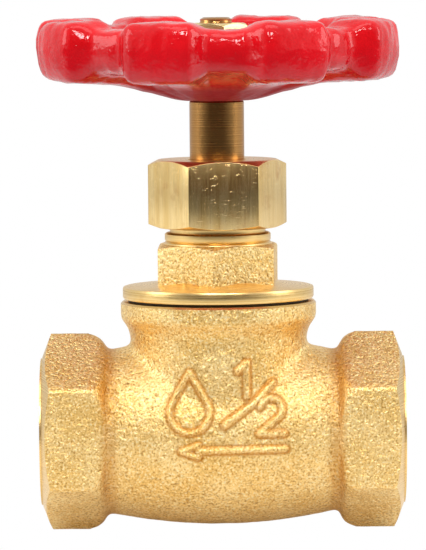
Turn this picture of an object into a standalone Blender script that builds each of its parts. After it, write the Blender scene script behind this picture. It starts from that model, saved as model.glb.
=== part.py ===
"""Half-inch brass globe valve with a screwed bonnet, a rising stem and a lobed handwheel.

Z runs up the stem, X runs along the pipe and -Y is the front. The origin is the point where
the stem's axis crosses the pipe's axis. The valve stands fully open: turning the handwheel
clockwise by three turns screws the stem down and presses the seat disc on its seat.
"""

import math

import bmesh
import bpy
from mathutils import Matrix

# Sizes are written in millimetres, and every mesh is scaled to metres when its object is made.
METRES = 0.001

SIDES = 28                  # sides of a large turned surface
SMALL_SIDES = 20            # sides of a small turned surface
REST = 0.05                 # gap between flat faces that rest on each other
FIT = 0.3                   # gap all round a shaft, a screwed joint or a sliding fit
BEYOND = 1.0                # how far a cutter runs past the face that it opens

# Body casting
INLET_FACE = 29.2
OUTLET_FACE = -28.1
END_FLATS = 27.0
END_LENGTH = 10.4
END_CORNER = 15.7           # radius that the hexagon's corners are turned to
LAND_RADIUS = 11.6          # raised ring round each mouth
LAND_HEIGHT = 0.25
MOUTH_RADIUS = 10.6
THREAD_BORE = 9.6
THREAD_DEPTH = 12.0
PASSAGE_RADIUS = 9.3
BELLY_RADIUS = 14.8
BELLY_TAPER = 0.00624       # radius lost per square millimetre away from the stem's axis
BELLY_REACH = 20.0
NECK_RADIUS = 13.9
COLLAR_RADIUS = 15.4
COLLAR_TOP = 20.6
COLLAR_HEIGHT = 3.0
INLET_WALL = 13.2           # where the inlet bore ends
OUTLET_WALL = -12.6         # where the outlet bore ends
LOWER_RADIUS = 11.6         # chamber under the seat
LOWER_START = -9.8
LOWER_END = 14.0
LOWER_ROOF = -2.0
UPPER_RADIUS = 10.6         # chamber over the seat
UPPER_FLOOR = 1.0
WINDOW_FLOOR = 1.3          # opening from the upper chamber to the outlet
WINDOW_START = -14.0
WINDOW_END = -5.0
BONNET_BORE = 11.4
BONNET_BORE_FLOOR = 13.0
SEAT_RADIUS = 6.7
SEAT_TOP = 1.8
PORT_RADIUS = 5.5
ARROW_RELIEF = 0.35
ARROW_HEIGHT = -3.0         # level of the flow arrow on the body's front

# Bonnet
GASKET_HEIGHT = 0.3
FLANGE_RADIUS = 15.05
FLANGE_BOTTOM = COLLAR_TOP + GASKET_HEIGHT + 2 * REST
FLANGE_HEIGHT = 1.9
BONNET_THREAD = 11.1
BONNET_BOTTOM = 15.2
BONNET_FLATS = 18.2
BONNET_TURN = -4.0          # degrees that its front corner stands off the front
BONNET_HEX_BOTTOM = 23.2
BONNET_HEX_TOP = 29.6
SPIGOT_RING = 8.35          # machined ring over the hexagon
SPIGOT_THREAD = 8.0
SPIGOT_TOP = 40.0
BACK_CAVITY = 8.0
BACK_CAVITY_TOP = 22.0
PACKING_BORE = 6.2
PACKING_FLOOR = 34.0

# Packing and its nut
NUT_FLATS = 19.0
NUT_BOTTOM = 32.2
NUT_TOP = 42.9
NUT_TURN = 5.8              # degrees that its front flat is turned towards the inlet
NUT_ROOF = 41.0
WASHER_THICKNESS = 0.5
RING_COUNT = 3
RING_HEIGHT = 1.08
FOLLOWER_RADIUS = 6.0
FOLLOWER_FLANGE = 7.2
FOLLOWER_BOTTOM = 37.9

# Stem
STEM_RADIUS = 4.3
LEAD = 2.0                  # rise of the right-hand thread per turn
THREAD_MEAN = 4.7
THREAD_WAVE = 0.45          # half the thread's depth
THREAD_STEPS = 6            # rings of points per turn
THREAD_SIDES = 16
THREAD_BOTTOM = 20.0
THREAD_TOP = 33.25
SPINDLE_RADIUS = 3.2        # plain end that turns in the disc holder
SPINDLE_BOTTOM = 14.3
GROOVE_RADIUS = 2.4
GROOVE_BOTTOM = 14.9
GROOVE_TOP = 16.4
SHOULDER = 52.1             # where the handwheel sits
SQUARE = 5.95
SQUARE_TOP = 60.8
STUD_RADIUS = 2.95
STUD_TOP = 65.2

# Disc assembly
HOLDER_RADIUS = 8.3
HOLDER_BOTTOM = 8.6
PLATE_BOTTOM = 11.0
PLATE_TOP = 13.0
HUB_RADIUS = 6.3
HUB_TOP = 18.6
SOCKET_RADIUS = 4.6
SOCKET_BOTTOM = 14.2
COUNTERBORE = 5.4
COUNTERBORE_BOTTOM = 16.7
DISC_RADIUS = 7.3
DISC_BOTTOM = 7.9
SCREW_RADIUS = 1.85
SCREW_HEAD = 3.5
SCREW_BOTTOM = 5.9

# Handwheel
LOBES = 8
VALLEY_TURN = 3.5           # degrees that the front valley stands off the front
# Angle from a lobe's middle, and how far the rim stands out there: 0 in a valley, 1 on a lobe.
LOBE_STEPS = [(-22.5, 0), (-16.0, 0), (-10.5, 1), (0, 1), (10.5, 1), (16.0, 0)]
WHEEL_HOLE = 6.25
HUB_SEAT = SHOULDER + REST
HUB_FACE = 60.9
WHEEL_NUT_FLATS = 9.0
WHEEL_NUT_HEIGHT = 2.95


def clear_scene():
    for old in list(bpy.data.objects):
        bpy.data.objects.remove(old, do_unlink=True)


def make_material(name, colour, roughness, metallic):
    material = bpy.data.materials.new(name)
    material.use_nodes = True
    shader = material.node_tree.nodes["Principled BSDF"]
    shader.inputs["Base Color"].default_value = (*colour, 1.0)
    shader.inputs["Roughness"].default_value = roughness
    shader.inputs["Metallic"].default_value = metallic
    return material


def make_object(name, bm):
    """Closes a mesh in millimetres into an object in metres, facing outwards and shaded smooth."""
    bmesh.ops.scale(bm, verts=bm.verts, vec=(METRES, METRES, METRES))
    bmesh.ops.recalc_face_normals(bm, faces=bm.faces)
    mesh = bpy.data.meshes.new(name)
    bm.to_mesh(mesh)
    bm.free()
    mesh.shade_smooth()
    mesh.set_sharp_from_angle(angle=math.radians(35))
    made = bpy.data.objects.new(name, mesh)
    bpy.context.scene.collection.objects.link(made)
    return made


def paint(piece, colour, roughness, metallic=1.0):
    piece.data.materials.append(make_material(piece.name, colour, roughness, metallic))
    return piece


def cut_or_join(piece, other, operation):
    """Adds an exact Boolean and keeps its second shape out of the picture."""
    other.hide_render = True
    other.display_type = "WIRE"
    modifier = piece.modifiers.new(other.name, "BOOLEAN")
    modifier.operation = operation
    modifier.solver = "EXACT"
    modifier.object = other


def join(piece, other):
    cut_or_join(piece, other, "UNION")


def cut(piece, other):
    cut_or_join(piece, other, "DIFFERENCE")


def keep_common(piece, other):
    cut_or_join(piece, other, "INTERSECT")


def turned_mesh(outline, sides):
    """Revolves (radius, height) points about Z. An outline runs down the outer side, and it
    either starts and ends on the axis or closes on itself."""
    bm = bmesh.new()
    points = [bm.verts.new((radius, 0, height)) for radius, height in outline]
    edges = [bm.edges.new(pair) for pair in zip(points, points[1:])]
    if outline[0][0] > 0:
        edges.append(bm.edges.new((points[-1], points[0])))
    bmesh.ops.spin(
        bm, geom=points + edges, axis=(0, 0, 1), cent=(0, 0, 0),
        angle=math.tau, steps=sides, use_merge=True,
    )
    bmesh.ops.remove_doubles(bm, verts=bm.verts, dist=1e-4)
    return bm


def turned(name, outline, sides=SIDES):
    return make_object(name, turned_mesh(outline, sides))


def tube(name, inner, outer, bottom, top, sides=SMALL_SIDES):
    outline = [(inner, top), (outer, top), (outer, bottom), (inner, bottom)]
    return turned(name, outline, sides)


def prism_mesh(outline, low, high):
    """Extrudes an (x, y) outline up from one height to another."""
    bm = bmesh.new()
    base = bm.faces.new([bm.verts.new((x, y, low)) for x, y in outline])
    made = bmesh.ops.extrude_face_region(bm, geom=[base])
    top = [part for part in made["geom"] if isinstance(part, bmesh.types.BMVert)]
    bmesh.ops.translate(bm, verts=top, vec=(0, 0, high - low))
    return bm


def polygon(corners, flats, first_angle):
    """Corners of a regular outline with a given width across its flats."""
    radius = flats / 2 / math.cos(math.pi / corners)
    angles = [math.radians(first_angle) + math.tau * k / corners for k in range(corners)]
    return [(radius * math.cos(a), radius * math.sin(a)) for a in angles]


def hexagon(name, flats, low, high, corner_angle):
    return make_object(name, prism_mesh(polygon(6, flats, corner_angle), low, high))


def box(name, low, high):
    outline = [(low[0], low[1]), (high[0], low[1]), (high[0], high[1]), (low[0], high[1])]
    return make_object(name, prism_mesh(outline, low[2], high[2]))


def laid_along_pipe(bm, towards_inlet, face=0.0):
    """Turns a mesh made along Z to lie along the pipe, its top at the given face."""
    quarter = math.radians(90 if towards_inlet else -90)
    bmesh.ops.rotate(bm, verts=bm.verts, cent=(0, 0, 0), matrix=Matrix.Rotation(quarter, 3, "Y"))
    bmesh.ops.translate(bm, verts=bm.verts, vec=(face, 0, 0))
    return bm


def wound_mesh(rows, sides):
    """Stacks rings of (height, radius, wave): the wave follows a right-hand helix of the lead."""
    bm = bmesh.new()
    rings = []
    for height, radius, wave in rows:
        ring = []
        for k in range(sides):
            angle = math.tau * k / sides
            reach = radius + wave * math.cos(math.tau * height / LEAD - angle)
            ring.append(bm.verts.new((reach * math.cos(angle), reach * math.sin(angle), height)))
        rings.append(ring)
    for lower, upper in zip(rings, rings[1:]):
        for k in range(sides):
            after = (k + 1) % sides
            bm.faces.new((lower[k], lower[after], upper[after], upper[k]))
    bm.faces.new(rings[0][::-1])
    bm.faces.new(rings[-1])
    return bm


def thread_rows(bottom, top, clearance=0.0):
    count = round((top - bottom) / LEAD * THREAD_STEPS)
    heights = [bottom + (top - bottom) * k / count for k in range(count + 1)]
    return [(height, THREAD_MEAN + clearance, THREAD_WAVE) for height in heights]


def belly_mesh(relief=0.0):
    """Barrel of the casting about the pipe's axis, fullest under the stem."""
    steps = 10
    places = [BELLY_REACH * (1 - 2 * k / steps) for k in range(steps + 1)]
    side = [(BELLY_RADIUS + relief - BELLY_TAPER * x * x, x) for x in places]
    outline = [(0, BELLY_REACH), *side, (0, -BELLY_REACH)]
    return laid_along_pipe(turned_mesh(outline, SIDES), True)


def end_hexagon(name, face, towards_inlet):
    """Hexagon end: its mouth side is faced and coned, and its inner shoulder is cast round."""
    back = -END_LENGTH
    outline = [
        (0, 0), (LAND_RADIUS, 0), (LAND_RADIUS, -LAND_HEIGHT), (LAND_RADIUS + 0.3, -LAND_HEIGHT),
        (END_CORNER - 0.4, -1.6), (END_CORNER, -2.2), (END_CORNER, back + 2.6),
        (END_CORNER - 0.6, back + 1.3), (END_CORNER - 1.8, back + 0.5), (11.8, back), (0, back),
    ]
    blank = make_object(name, laid_along_pipe(turned_mesh(outline, SIDES), towards_inlet, face))
    prism = prism_mesh(polygon(6, END_FLATS, 0), back - BEYOND, BEYOND)
    flats = make_object(name + "_flats", laid_along_pipe(prism, towards_inlet, face))
    keep_common(blank, flats)
    return blank


def socket_cutter(name, face, wall, towards_inlet):
    """Mouth chamfer, thread bore and passage from one end face to the wall inside."""
    depth = abs(face - wall)
    outline = [
        (0, BEYOND), (MOUTH_RADIUS + BEYOND, BEYOND), (MOUTH_RADIUS, 0),
        (THREAD_BORE, THREAD_BORE - MOUTH_RADIUS), (THREAD_BORE, -THREAD_DEPTH),
        (PASSAGE_RADIUS, PASSAGE_RADIUS - THREAD_BORE - THREAD_DEPTH), (PASSAGE_RADIUS, -depth),
        (0, -depth),
    ]
    return make_object(name, laid_along_pipe(turned_mesh(outline, SIDES), towards_inlet, face))


def chamber_cutter(name, radius, level, start, end):
    """Part of a round passage along the pipe, cut off flat by the seat wall at a level."""
    half = math.acos(abs(level) / radius)
    middle = 0.0 if level < 0 else math.pi
    steps = 14
    angles = [middle + half * (2 * k / steps - 1) for k in range(steps + 1)]
    outline = [(radius * math.cos(a), radius * math.sin(a)) for a in angles]
    return make_object(name, laid_along_pipe(prism_mesh(outline, start, end), True))


def flow_arrow():
    """Raised arrow on the belly's front that points to the outlet."""
    tip, neck, tail = -6.5, -3.4, 10.0
    wide, narrow = 1.5, 0.6
    outline = [(tip, 0), (neck, -wide), (neck, -narrow), (tail, -narrow),
               (tail, narrow), (neck, narrow), (neck, wide)]
    bm = prism_mesh(outline, BELLY_RADIUS - 6, BELLY_RADIUS + BEYOND)
    bmesh.ops.rotate(bm, verts=bm.verts, cent=(0, 0, 0), matrix=Matrix.Rotation(math.pi / 2, 3, "X"))
    bmesh.ops.translate(bm, verts=bm.verts, vec=(0, 0, ARROW_HEIGHT))
    arrow = make_object("arrow", bm)
    keep_common(arrow, make_object("arrow_skin", belly_mesh(ARROW_RELIEF)))
    return arrow


def make_body():
    body = make_object("body", belly_mesh())
    join(body, end_hexagon("inlet_hexagon", INLET_FACE, True))
    join(body, end_hexagon("outlet_hexagon", OUTLET_FACE, False))
    collar_bottom = COLLAR_TOP - COLLAR_HEIGHT
    join(body, turned("neck", [
        (0, COLLAR_TOP), (COLLAR_RADIUS - 0.3, COLLAR_TOP), (COLLAR_RADIUS, COLLAR_TOP - 0.3),
        (COLLAR_RADIUS, collar_bottom), (NECK_RADIUS + 0.5, collar_bottom - 0.8),
        (NECK_RADIUS, collar_bottom - 2.0), (NECK_RADIUS, 0), (0, 0),
    ]))
    join(body, flow_arrow())
    cut(body, socket_cutter("inlet_socket", INLET_FACE, INLET_WALL, True))
    cut(body, socket_cutter("outlet_socket", OUTLET_FACE, OUTLET_WALL, False))
    cut(body, chamber_cutter("lower_chamber", LOWER_RADIUS, LOWER_ROOF, LOWER_START, LOWER_END))
    cut(body, turned("upper_chamber", [
        (0, COLLAR_TOP + BEYOND), (BONNET_BORE, COLLAR_TOP + BEYOND),
        (BONNET_BORE, BONNET_BORE_FLOOR), (UPPER_RADIUS, BONNET_BORE_FLOOR - 0.5),
        (UPPER_RADIUS, UPPER_FLOOR), (0, UPPER_FLOOR),
    ]))
    cut(body, chamber_cutter("outlet_window", PASSAGE_RADIUS, WINDOW_FLOOR, WINDOW_START, WINDOW_END))
    join(body, turned("seat", [
        (0, SEAT_TOP), (SEAT_RADIUS - 0.3, SEAT_TOP), (SEAT_RADIUS, SEAT_TOP - 0.3),
        (SEAT_RADIUS, UPPER_FLOOR - 0.5), (0, UPPER_FLOOR - 0.5),
    ]))
    cut(body, turned("port", [
        (0, SEAT_TOP + BEYOND), (PORT_RADIUS, SEAT_TOP + BEYOND),
        (PORT_RADIUS, LOWER_ROOF - BEYOND), (0, LOWER_ROOF - BEYOND),
    ]))
    return paint(body, (0.80, 0.60, 0.27), 0.45)


def make_bonnet():
    top = FLANGE_BOTTOM + FLANGE_HEIGHT
    bonnet = turned("bonnet", [
        (0, SPIGOT_TOP), (SPIGOT_THREAD - 0.4, SPIGOT_TOP), (SPIGOT_THREAD, SPIGOT_TOP - 0.4),
        (SPIGOT_THREAD, 32.1), (SPIGOT_THREAD - 0.4, 32.1), (SPIGOT_THREAD - 0.4, 31.4),
        (SPIGOT_RING, 31.4), (SPIGOT_RING, 30.1), (SPIGOT_RING + 0.25, BONNET_HEX_TOP),
        (SPIGOT_RING + 0.25, BONNET_HEX_BOTTOM + 1), (10.5, top + 0.5),
        (FLANGE_RADIUS - 0.35, top), (FLANGE_RADIUS, top - 0.35),
        (FLANGE_RADIUS, FLANGE_BOTTOM + 0.3), (FLANGE_RADIUS - 0.3, FLANGE_BOTTOM),
        (BONNET_THREAD - 0.5, FLANGE_BOTTOM), (BONNET_THREAD - 0.5, FLANGE_BOTTOM - 0.8),
        (BONNET_THREAD, FLANGE_BOTTOM - 1.1), (BONNET_THREAD, BONNET_BOTTOM + 0.3),
        (BONNET_THREAD - 0.3, BONNET_BOTTOM), (0, BONNET_BOTTOM),
    ])
    flats = hexagon("bonnet_flats", BONNET_FLATS, BONNET_HEX_BOTTOM - 2, BONNET_HEX_TOP + BEYOND,
                    BONNET_TURN - 90)
    keep_common(flats, turned("bonnet_flats_blank", [
        (0, BONNET_HEX_TOP + 0.1), (SPIGOT_RING + 0.5, BONNET_HEX_TOP + 0.1), (10.6, BONNET_HEX_TOP - 0.7),
        (10.6, BONNET_HEX_BOTTOM - 0.8), (0, BONNET_HEX_BOTTOM - 0.8),
    ]))
    join(bonnet, flats)
    cut(bonnet, turned("stuffing_box", [
        (0, SPIGOT_TOP + BEYOND), (PACKING_BORE, SPIGOT_TOP + BEYOND),
        (PACKING_BORE, PACKING_FLOOR), (0, PACKING_FLOOR),
    ]))
    cut(bonnet, turned("back_cavity", [
        (0, BACK_CAVITY_TOP), (BACK_CAVITY - 1, BACK_CAVITY_TOP), (BACK_CAVITY, BACK_CAVITY_TOP - 1),
        (BACK_CAVITY, BONNET_BOTTOM - BEYOND), (0, BONNET_BOTTOM - BEYOND),
    ]))
    rows = thread_rows(BACK_CAVITY_TOP - 0.5, PACKING_FLOOR + 0.5, FIT)
    cut(bonnet, make_object("stem_thread_bore", wound_mesh(rows, THREAD_SIDES)))
    return paint(bonnet, (0.80, 0.60, 0.27), 0.42)


def make_gasket():
    bottom = COLLAR_TOP + REST
    gasket = tube("bonnet_gasket", BONNET_BORE + 0.2, 14.2, bottom, bottom + GASKET_HEIGHT, SIDES)
    return paint(gasket, (0.05, 0.045, 0.04), 0.8, 0.0)


def make_packing_nut():
    nut = hexagon("packing_nut", NUT_FLATS, NUT_BOTTOM - BEYOND, NUT_TOP + BEYOND, NUT_TURN - 60)
    keep_common(nut, turned("packing_nut_blank", [
        (0, NUT_TOP), (9.3, NUT_TOP), (11.1, NUT_TOP - 1.0), (11.1, NUT_BOTTOM + 0.8),
        (9.6, NUT_BOTTOM), (0, NUT_BOTTOM),
    ]))
    cut(nut, turned("packing_nut_bore", [
        (0, NUT_TOP + BEYOND), (STEM_RADIUS + FIT, NUT_TOP + BEYOND), (STEM_RADIUS + FIT, NUT_ROOF),
        (SPIGOT_THREAD + FIT, NUT_ROOF), (SPIGOT_THREAD + FIT, NUT_BOTTOM - BEYOND),
        (0, NUT_BOTTOM - BEYOND),
    ]))
    return paint(nut, (0.78, 0.56, 0.24), 0.3)


def make_packing():
    """Base washer, packing rings and gland follower, stacked up from the stuffing box's floor."""
    bottom = PACKING_FLOOR + REST
    washer = tube("packing_base_washer", STEM_RADIUS + FIT, PACKING_BORE - 0.2,
                  bottom, bottom + WASHER_THICKNESS)
    pieces = [paint(washer, (0.75, 0.55, 0.25), 0.35)]
    bottom += WASHER_THICKNESS + REST
    for number in range(1, RING_COUNT + 1):
        ring = tube(f"packing_ring_{number}", STEM_RADIUS + 0.15, PACKING_BORE - 0.15,
                    bottom, bottom + RING_HEIGHT)
        pieces.append(paint(ring, (0.07, 0.07, 0.075), 0.75, 0.0))
        bottom += RING_HEIGHT + REST
    follower = turned("gland_follower", [
        (STEM_RADIUS + 0.2, NUT_ROOF - REST), (FOLLOWER_FLANGE, NUT_ROOF - REST),
        (FOLLOWER_FLANGE, SPIGOT_TOP + 0.15), (FOLLOWER_RADIUS, SPIGOT_TOP + 0.15),
        (FOLLOWER_RADIUS, FOLLOWER_BOTTOM + REST), (STEM_RADIUS + 0.2, FOLLOWER_BOTTOM + REST),
    ], SMALL_SIDES)
    pieces.append(paint(follower, (0.75, 0.55, 0.25), 0.35))
    return pieces


def make_stem():
    lower = [
        (SPINDLE_BOTTOM, SPINDLE_RADIUS - 0.3, 0), (SPINDLE_BOTTOM + 0.3, SPINDLE_RADIUS, 0),
        (GROOVE_BOTTOM, SPINDLE_RADIUS, 0), (GROOVE_BOTTOM + REST, GROOVE_RADIUS, 0),
        (GROOVE_TOP, GROOVE_RADIUS, 0), (GROOVE_TOP + REST, SPINDLE_RADIUS, 0),
        (THREAD_BOTTOM - 0.8, SPINDLE_RADIUS, 0),
    ]
    upper = [
        (THREAD_TOP + 0.25, STEM_RADIUS, 0), (SHOULDER, STEM_RADIUS, 0),
    ]
    rows = lower + thread_rows(THREAD_BOTTOM, THREAD_TOP) + upper
    stem = make_object("stem", wound_mesh(rows, THREAD_SIDES))
    square = make_object("stem_square", prism_mesh(polygon(4, SQUARE, 45), SHOULDER - 1, SQUARE_TOP))
    join(stem, square)
    join(stem, turned("stem_stud", [
        (0, STUD_TOP), (STUD_RADIUS - 0.5, STUD_TOP), (STUD_RADIUS, STUD_TOP - 0.5),
        (STUD_RADIUS, SQUARE_TOP - 0.5), (0, SQUARE_TOP - 0.5),
    ], SMALL_SIDES))
    return paint(stem, (0.70, 0.48, 0.20), 0.28)


def make_stem_ring():
    ring = tube("stem_ring", GROOVE_RADIUS + 0.1, STEM_RADIUS, GROOVE_BOTTOM + 0.15, GROOVE_TOP - 0.1)
    cut(ring, box("stem_ring_split", (0, -0.5, GROOVE_BOTTOM - BEYOND), (6, 0.5, GROOVE_TOP + BEYOND)))
    return paint(ring, (0.6, 0.6, 0.58), 0.35)


def make_disc_assembly():
    screw_hole = SCREW_RADIUS + FIT
    holder = turned("disc_holder", [
        (0, SOCKET_BOTTOM), (SOCKET_RADIUS, SOCKET_BOTTOM), (SOCKET_RADIUS, COUNTERBORE_BOTTOM),
        (COUNTERBORE, COUNTERBORE_BOTTOM), (COUNTERBORE, HUB_TOP), (HUB_RADIUS, HUB_TOP),
        (HUB_RADIUS, PLATE_TOP), (HOLDER_RADIUS, PLATE_TOP), (HOLDER_RADIUS, HOLDER_BOTTOM),
        (DISC_RADIUS + FIT, HOLDER_BOTTOM), (DISC_RADIUS + FIT, PLATE_BOTTOM),
        (screw_hole, PLATE_BOTTOM), (screw_hole, 12.9), (0, 12.9),
    ][::-1], SMALL_SIDES)
    paint(holder, (0.75, 0.55, 0.25), 0.35)

    nut_bottom = COUNTERBORE_BOTTOM + REST
    nut = tube("disc_holder_nut", SPINDLE_RADIUS + FIT, COUNTERBORE - 0.2, nut_bottom, HUB_TOP)
    cut(nut, box("spanner_slot", (-6, -0.6, HUB_TOP - 0.8), (6, 0.6, HUB_TOP + BEYOND)))
    paint(nut, (0.75, 0.55, 0.25), 0.35)

    disc = tube("seat_disc", screw_hole, DISC_RADIUS, DISC_BOTTOM, PLATE_BOTTOM - REST)
    paint(disc, (0.03, 0.03, 0.03), 0.7, 0.0)

    washer = tube("disc_washer", screw_hole, 4.6, DISC_BOTTOM - 0.6, DISC_BOTTOM - REST)
    paint(washer, (0.75, 0.55, 0.25), 0.35)

    head_top = DISC_BOTTOM - 0.6 - REST
    screw = turned("disc_screw", [
        (0, 12.8), (SCREW_RADIUS, 12.8), (SCREW_RADIUS, head_top), (SCREW_HEAD, head_top),
        (SCREW_HEAD, SCREW_BOTTOM + 0.3), (SCREW_HEAD - 0.3, SCREW_BOTTOM), (0, SCREW_BOTTOM),
    ], SMALL_SIDES)
    cut(screw, box("screw_slot", (-5, -0.45, SCREW_BOTTOM - BEYOND), (5, 0.45, SCREW_BOTTOM + 0.7)))
    paint(screw, (0.75, 0.55, 0.25), 0.3)
    return [holder, nut, disc, washer, screw]


# Half of a slice through the wheel, from the top of the hub over the rim to the hub's underside:
# radius and height in a valley, then radius and height on a lobe.
WHEEL_SLICE = [
    (5.6, HUB_FACE, 5.6, HUB_FACE), (6.3, 60.2, 6.3, 60.2), (8.2, 58.4, 8.2, 58.7),
    (17.0, 58.0, 17.0, 58.7), (19.0, 59.2, 19.2, 60.2), (19.7, 62.7, 20.0, 64.1),
    (21.6, 63.8, 21.8, 65.2), (24.3, 63.8, 27.0, 65.2), (25.5, 62.8, 28.5, 64.0),
    (25.8, 60.4, 29.0, 60.6), (25.4, 58.2, 28.5, 57.0), (24.2, 57.2, 27.0, 55.5),
    (21.8, 57.0, 23.0, 55.3), (17.5, 56.4, 18.0, 55.1), (12.5, 54.7, 12.5, 54.1),
    (8.1, 52.9, 8.1, 52.8), (5.4, HUB_SEAT, 5.4, HUB_SEAT),
]


def make_handwheel():
    bm = bmesh.new()
    front_valley = VALLEY_TURN - 90
    slices = []
    for turn, share in [(front_valley + 360 * (k + 0.5) / LOBES + turn, share)
                        for k in range(LOBES) for turn, share in LOBE_STEPS]:
        angle = math.radians(turn)
        points = []
        for valley_radius, valley_height, lobe_radius, lobe_height in WHEEL_SLICE:
            radius = valley_radius + (lobe_radius - valley_radius) * share
            height = valley_height + (lobe_height - valley_height) * share
            points.append(bm.verts.new((radius * math.cos(angle), radius * math.sin(angle), height)))
        slices.append(points)
    for here, after in zip(slices, slices[1:] + slices[:1]):
        for k in range(len(WHEEL_SLICE) - 1):
            bm.faces.new((here[k], here[k + 1], after[k + 1], after[k]))
    bm.faces.new([points[0] for points in slices])
    bm.faces.new([points[-1] for points in slices][::-1])
    wheel = make_object("handwheel", bm)
    hole = prism_mesh(polygon(4, WHEEL_HOLE, 45), HUB_SEAT - BEYOND, HUB_FACE + BEYOND)
    cut(wheel, make_object("wheel_hole", hole))
    return paint(wheel, (0.75, 0.01, 0.02), 0.15, 0.0)


def make_wheel_fasteners():
    bottom = HUB_FACE + REST
    washer = tube("handwheel_washer", STUD_RADIUS + 0.2, 5.4, bottom, bottom + 0.35)
    paint(washer, (0.80, 0.65, 0.30), 0.3)
    bottom += 0.35 + REST
    top = bottom + WHEEL_NUT_HEIGHT
    nut = hexagon("handwheel_nut", WHEEL_NUT_FLATS, bottom, top + BEYOND, NUT_TURN)
    keep_common(nut, turned("handwheel_nut_blank", [
        (0, top), (4.3, top), (5.3, top - 0.6), (5.3, bottom - BEYOND), (0, bottom - BEYOND),
    ]))
    bore = [(0, top + BEYOND), (STUD_RADIUS + 0.2, top + BEYOND),
            (STUD_RADIUS + 0.2, bottom - BEYOND), (0, bottom - BEYOND)]
    cut(nut, turned("handwheel_nut_bore", bore, SMALL_SIDES))
    paint(nut, (0.85, 0.68, 0.30), 0.25)
    return [washer, nut]


def axis_empty(name, parent=None):
    """Empty on the stem's axis: everything parented to it moves with that joint."""
    empty = bpy.data.objects.new(name, None)
    bpy.context.scene.collection.objects.link(empty)
    empty.parent = parent
    return empty


clear_scene()
make_body()
make_gasket()
make_bonnet()
make_packing_nut()
make_packing()

stem_lift = axis_empty("stem_lift")
handwheel_turn = axis_empty("handwheel_turn", stem_lift)
for piece in make_disc_assembly():
    piece.parent = stem_lift
for piece in [make_stem(), make_stem_ring(), make_handwheel(), *make_wheel_fasteners()]:
    piece.parent = handwheel_turn
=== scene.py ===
import math

import bpy
import numpy as np
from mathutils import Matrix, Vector, noise


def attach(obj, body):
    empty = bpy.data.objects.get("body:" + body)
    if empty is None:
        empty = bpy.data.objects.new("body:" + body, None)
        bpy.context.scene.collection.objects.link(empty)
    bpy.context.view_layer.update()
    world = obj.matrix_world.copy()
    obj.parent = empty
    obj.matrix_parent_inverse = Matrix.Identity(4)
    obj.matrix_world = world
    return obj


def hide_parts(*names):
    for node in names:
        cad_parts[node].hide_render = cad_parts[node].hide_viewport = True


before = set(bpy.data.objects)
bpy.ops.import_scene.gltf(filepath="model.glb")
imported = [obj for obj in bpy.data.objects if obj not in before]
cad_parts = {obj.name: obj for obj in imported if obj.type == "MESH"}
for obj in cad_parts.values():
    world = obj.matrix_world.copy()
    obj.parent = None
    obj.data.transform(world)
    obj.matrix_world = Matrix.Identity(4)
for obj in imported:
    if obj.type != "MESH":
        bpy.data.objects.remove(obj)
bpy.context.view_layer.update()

MM = 0.001

# ---- Camera, light and floor -----------------------------------------------------------------
# A long lens a little above the bonnet, a white studio with a dark patch on the camera's side, so
# that flat brass has something to reflect, and a white floor that the valve stands just above.

AIM = Vector((-0.8, 0.0, 24.6)) * MM
EYE = Vector((-0.8, -745.0, 80.0)) * MM
LENS = 310.0
ROLL = -0.5
FLOOR_LEVEL = -17.0

bpy.ops.object.select_all(action="DESELECT")
bpy.ops.object.camera_add(location=EYE)
camera = bpy.context.object
camera.rotation_euler = (AIM - EYE).to_track_quat("-Z", "Y").to_euler()
camera.rotation_euler.rotate_axis("Z", math.radians(ROLL))
camera.data.lens = LENS
camera.data.clip_start = 0.01
bpy.context.scene.camera = camera
bpy.context.scene.view_settings.view_transform = "Standard"


LIT_POINT = Vector((0, 0, 20))


def softbox(place, width, height, power):
    """Rectangular light that faces a point on the stem's axis."""
    bpy.ops.object.light_add(type="AREA", location=Vector(place) * MM)
    light = bpy.context.object
    light.data.shape = "RECTANGLE"
    light.data.size = width * MM
    light.data.size_y = height * MM
    light.data.energy = power
    aim = (LIT_POINT - Vector(place)) * MM
    light.rotation_euler = aim.to_track_quat("-Z", "Y").to_euler()


softbox((-320, -60, 190), 160, 260, 0.40)
softbox((330, -40, 190), 160, 260, 0.40)
softbox((0, -120, 420), 300, 200, 0.35)
softbox((-60, -420, 320), 110, 110, 0.85)
softbox((150, -420, 320), 80, 100, 0.5)

BEHIND_CAMERA = (0.10, 0.060, 0.036)
WHITE_LEVEL = 1.0
STUDIO_LEVEL = 0.78
FLOOR_RADIUS = 3000.0
FLOOR_DARK_UP_TO = -200.0
FLOOR_PALE_FROM = -50.0


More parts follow.
